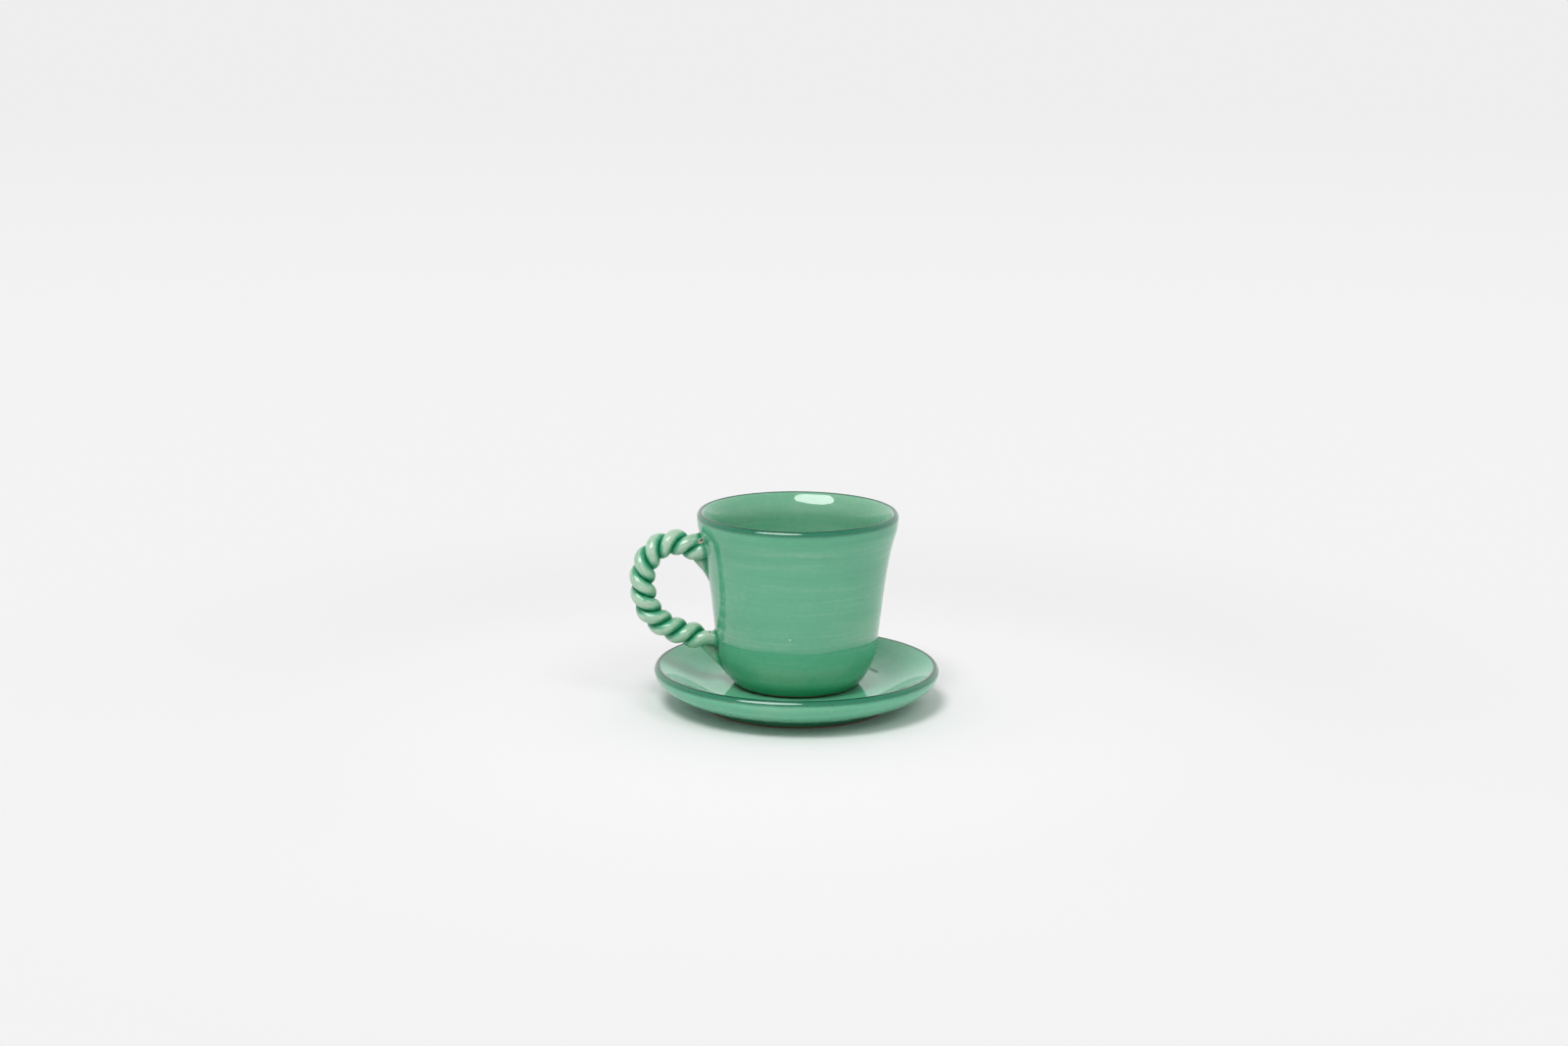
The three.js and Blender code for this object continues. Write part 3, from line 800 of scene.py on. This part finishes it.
def cup_depth_and_shade(t, place):
    """Glaze depth on the cup with painted light and shade: painted light inside, rings and a darker band
    under the rim, painted shade at the foot and on the bowl's flanks with painted light on its front, and
    pooled glaze with painted shade at the handle's roots.
    """
    x, y, z = t.xyz(place)
    # Painted shade: the wall darkens towards its foot, where the saucer shades it
    foot = fade(t, z, CUP_FOOT_HEIGHTS, CUP_FOOT_PAINTED_SHADE, 0.0)
    # Painted shade on the bowl's flanks, to the left and right as seen, and painted light on its front
    radial = t.vector("NORMALIZE", t.combine(x, y, 0.0))
    flank, _, _ = t.xyz(t.vector("ABSOLUTE", radial))
    around = t.ramp(flank, *BOWL_FLANK, BOWL_FRONT_PAINTED_LIGHT, BOWL_FLANK_PAINTED_SHADE)
    bowl = fade(t, z, BOWL_HEIGHTS, around, 0.0)
    low = t.math("ADD", foot, bowl)
    rings = t.swing(layer_noise(t, place, RIM_RINGS), RIM_RINGS.swing)
    high = t.math("MULTIPLY", fade(t, z, RIM_HEIGHTS, 0.0, 1.0), t.math("ADD", rings, RIM_DARKENING))
    # Pooled glaze and painted shade: the wall is darker where the handle's strands meet it
    roots = fade(t, attribute(t, "clear"), ROOT_REACH, ROOT_POOL_AND_SHADE, 0.0)
    outside = t.math("ADD", t.math("ADD", low, high), roots)
    # Painted light: the inside, where the surface faces the axis, is made lighter
    normal = t.add("ShaderNodeTexCoord", out="Normal")
    outward = t.vector("DOT_PRODUCT", normal, radial)
    return t.ramp(outward, *INSIDE_TURN, INSIDE_PAINTED_LIGHT, outside)


def saucer_foot_shade(t, place):
    """Painted shade: darker towards the foot, under the saucer's overhang."""
    _, _, z = t.xyz(place)
    return fade(t, z, SAUCER_FOOT_HEIGHTS, SAUCER_FOOT_PAINTED_SHADE, 0.0)


BARE_FOOT = 0.7
cup_lip = Lip(RIM_RADIUS - CUP_LIP, RIM_TOP - CUP_LIP, band_start=-0.6)
saucer_lip = Lip(SAUCER_RADIUS - SAUCER_LIP / 2, SAUCER_HEIGHT - SAUCER_LIP / 2, band_start=-0.5)
cup_glaze = thrown_material("cup_glaze", CUP_GREEN, cup_lip, CUP_BASE + BARE_FOOT, cup_depth_and_shade, cup_mark)
saucer_glaze = thrown_material("saucer_glaze", SAUCER_GREEN, saucer_lip, BARE_FOOT, saucer_foot_shade, saucer_mark)
rope_glaze = rope_material("rope_glaze")

# Pieces

thrown, strand, pooling_and_shade = thrown_tree(), strand_tree(), pooling_and_shade_tree()


def thrown_piece(name, outline, material, ring_depth, waver):
    """Cup, saucer or wall from its outline. The depth of the rings and the waver are in millimetres."""
    helper = line_object(name + "_outline", np.stack([outline[:, 0], 0 * outline[:, 0], outline[:, 1]], 1))
    piece = grow(blank(name), thrown, Outline=helper, Outline_Points=len(outline), Turn_Steps=TURN_STEPS,
                 Ring_Depth=ring_depth * MM, Waver=waver * MM, Material=material)
    bpy.data.objects.remove(helper)
    return piece


saucer = thrown_piece("saucer_form", saucer_outline(), saucer_glaze, ring_depth=0.08, waver=0.2)
cup = thrown_piece("cup_form", cup_outline(), cup_glaze, ring_depth=0.10, waver=0.25)
wall = thrown_piece("wall_helper", OUTER_FACE, cup_glaze, ring_depth=0.0, waver=0.0)

plain_line = line_object("plain_line", plain_path, thickness=plain_radius)
tailed_line = line_object("tailed_line", tailed_path, thickness=tailed_radius)
plain = line_object("plain_strand_form", plain_path, thickness=plain_radius)
tailed = line_object("tailed_strand_form", tailed_path, thickness=tailed_radius)
for piece, other in ((plain, tailed_line), (tailed, plain_line)):
    grow(piece, strand, Other_Path=other, Wall=wall, Sides=STRAND_SIDES, Gap=0.04 * MM, Web=3.0 * MM,
         Sunk=0.3 * MM, Deepest=1.2 * MM, Fillet=1.3 * MM, Unevenness=0.08, Material=rope_glaze)
grow(cup, pooling_and_shade, First_Strand=plain, Second_Strand=tailed, Material=cup_glaze)
for helper in (wall, plain_line, tailed_line):
    bpy.data.objects.remove(helper)

for piece, body, node, slot in (
    (saucer, "saucer", "saucer", "wall_glaze"),
    (cup, "cup", "cup_body", "wall_glaze"),
    (plain, "cup", "handle_plain_strand", "rope_glaze"),
    (tailed, "cup", "handle_tailed_strand", "rope_glaze"),
):
    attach(piece, body)
    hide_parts(node)

# Studio

WHITE = (1, 1, 1, 1)
BACKGROUND = 0.896
FAR_BACKGROUND = 0.86
FLOOR = (0.80, 0.80, 0.80, 1)
NEAR_FLOOR_PAINTED_LIGHT = (0.855, 0.840, 0.850, 1)

# Reach of the floor, and distances from the axis over which its looks change, in metres
FLOOR_REACH = 30.0
NEAR_FLOOR_FADE = (0.09, 0.25)
SHADOW_FADE = (0.15, 0.42)
BACKGROUND_FADE = (0.5, 4.0)

# Light from each direction, and the part of the way to the back or up where it changes
AMBIENT_BEHIND, AMBIENT_IN_FRONT, AMBIENT_FADE = 0.68, 0.38, (-0.8, 0.0)
ROOM_BEHIND, ROOM_IN_FRONT, ROOM_FADE = 0.95, 0.48, (-0.1, 0.75)
CEILING, CEILING_FADE = 0.15, (0.60, 0.85)

# Lamps stand this far from the middle of the cup, in metres
LAMP_AIM = Vector((0, 0, 0.05))
LAMP_DISTANCE = 4.0

# Camera fitted to the photo: the handle is turned a little towards it
CAMERA_ELEVATION, CAMERA_ROLL, CAMERA_TURN = math.radians(12.24), math.radians(0.42), math.radians(-4)
CAMERA_AIM = Vector((-5.86, 0, 79.27)) * MM
CAMERA_DISTANCE = 1.205
CAMERA_SENSOR, CAMERA_LENS = 36.0, 64.87


def floor_material():
    """White floor that keeps the shadow near the object, painted a little lighter close to it to thin that
    shadow, and passes into the even background further off.
    """
    material = bpy.data.materials.new("floor")
    material.use_nodes = True
    t = Tree(material.node_tree)
    material.node_tree.nodes.clear()
    x, y, _ = t.xyz(object_place(t))
    away = t.vector("LENGTH", t.combine(x, y, 0.0))
    far = t.ramp(away, *SHADOW_FADE)
    # Painted light: the floor is lighter close to the object, against the shade there
    lit = t.add("ShaderNodeBsdfDiffuse", t.mix(t.ramp(away, *NEAR_FLOOR_FADE), NEAR_FLOOR_PAINTED_LIGHT, FLOOR))
    even = t.add("ShaderNodeEmission", WHITE, t.ramp(away, *BACKGROUND_FADE, BACKGROUND, FAR_BACKGROUND))
    path = t.tree.nodes.new("ShaderNodeLightPath")
    seen = t.math("MAXIMUM", path.outputs["Is Camera Ray"], path.outputs["Is Glossy Ray"])
    seen = t.math("MAXIMUM", seen, path.outputs["Is Transmission Ray"])
    shown = t.add("ShaderNodeMixShader", t.math("MULTIPLY", far, seen), lit, even)
    t.tree.links.new(shown, t.tree.nodes.new("ShaderNodeOutputMaterial").inputs[0])
    return material


def make_floor():
    mesh = bpy.data.meshes.new("floor")
    corners = [(x * FLOOR_REACH, y * FLOOR_REACH, 0) for x, y in ((-1, -1), (1, -1), (1, 1), (-1, 1))]
    mesh.from_pydata(corners, [], [(0, 1, 2, 3)])
    mesh.materials.append(floor_material())
    floor = linked(bpy.data.objects.new("floor", mesh))


def make_world():
    """Soft light on the clay. The glaze mirrors a room, white behind, dimmer in front and dark above."""
    world = bpy.data.worlds.new("studio")
    bpy.context.scene.world = world
    world.use_nodes = True
    t = Tree(world.node_tree)
    world.node_tree.nodes.clear()
    path = t.tree.nodes.new("ShaderNodeLightPath")
    seen = t.math("MAXIMUM", path.outputs["Is Camera Ray"], path.outputs["Is Transmission Ray"])
    _, behind, up = t.xyz(t.add("ShaderNodeTexCoord", out="Generated"))
    ambient = t.ramp(behind, *AMBIENT_FADE, AMBIENT_IN_FRONT, AMBIENT_BEHIND)
    room = t.ramp(behind, *ROOM_FADE, ROOM_IN_FRONT, ROOM_BEHIND)
    mirrored = t.ramp(up, *CEILING_FADE, room, CEILING)
    strength = t.ramp(path.outputs["Is Glossy Ray"], 0.0, 1.0, ambient, mirrored)
    strength = t.ramp(seen, 0.0, 1.0, strength, BACKGROUND)
    sky = t.add("ShaderNodeBackground", WHITE, strength)
    t.tree.links.new(sky, t.tree.nodes.new("ShaderNodeOutputWorld").inputs[0])


def softbox(name, azimuth, elevation, width, height, radiance, roll=0):
    """Oval lamp that faces the cup. Azimuth 0 is on the photo's side, and minus is to its left."""
    lamp = bpy.data.lights.new(name, "AREA")
    lamp.shape = "ELLIPSE"
    lamp.size, lamp.size_y = width, height
    lamp.energy = radiance * math.pi * (math.pi * width * height / 4)
    obj = linked(bpy.data.objects.new(name, lamp))
    a, e = math.radians(azimuth), math.radians(elevation)
    away = Vector((math.sin(a) * math.cos(e), -math.cos(a) * math.cos(e), math.sin(e)))
    obj.location = LAMP_AIM + away * LAMP_DISTANCE
    turned = away.to_track_quat("Z", "Y") @ Quaternion((0, 0, 1), math.radians(roll))
    obj.rotation_euler = turned.to_euler()
    obj.visible_camera = False
    return obj


def make_lamps():
    """Two lamps light the clay and aren't mirrored. A third is only mirrored, as the glaze's highlight."""
    key = softbox("key", azimuth=-25, elevation=58, width=1.47, height=1.47, radiance=15.7)
    fill = softbox("fill", azimuth=35, elevation=45, width=1.47, height=1.47, radiance=3.6)
    shine = softbox("mirrored_key", azimuth=-31, elevation=48, width=3.2, height=2.0, radiance=7.8, roll=12)
    key.visible_glossy = False
    fill.visible_glossy = False
    shine.visible_diffuse = False


def make_camera():
    back = Vector((0, -math.cos(CAMERA_ELEVATION), math.sin(CAMERA_ELEVATION)))
    right = Vector((1, 0, 0))
    up = right.cross(-back)
    place = CAMERA_AIM + back * CAMERA_DISTANCE
    axes = Matrix((
        right * math.cos(CAMERA_ROLL) + up * math.sin(CAMERA_ROLL),
        up * math.cos(CAMERA_ROLL) - right * math.sin(CAMERA_ROLL),
        back,
    )).transposed()
    data = bpy.data.cameras.new("camera")
    data.sensor_width, data.lens = CAMERA_SENSOR, CAMERA_LENS
    data.clip_start, data.clip_end = 0.05, 100.0
    camera = linked(bpy.data.objects.new("camera", data))
    camera.matrix_world = Matrix.Rotation(CAMERA_TURN, 4, "Z") @ Matrix.Translation(place) @ axes.to_4x4()
    bpy.context.scene.camera = camera


make_floor()
make_world()
make_lamps()
make_camera()
bpy.context.scene.view_settings.view_transform = "Standard"
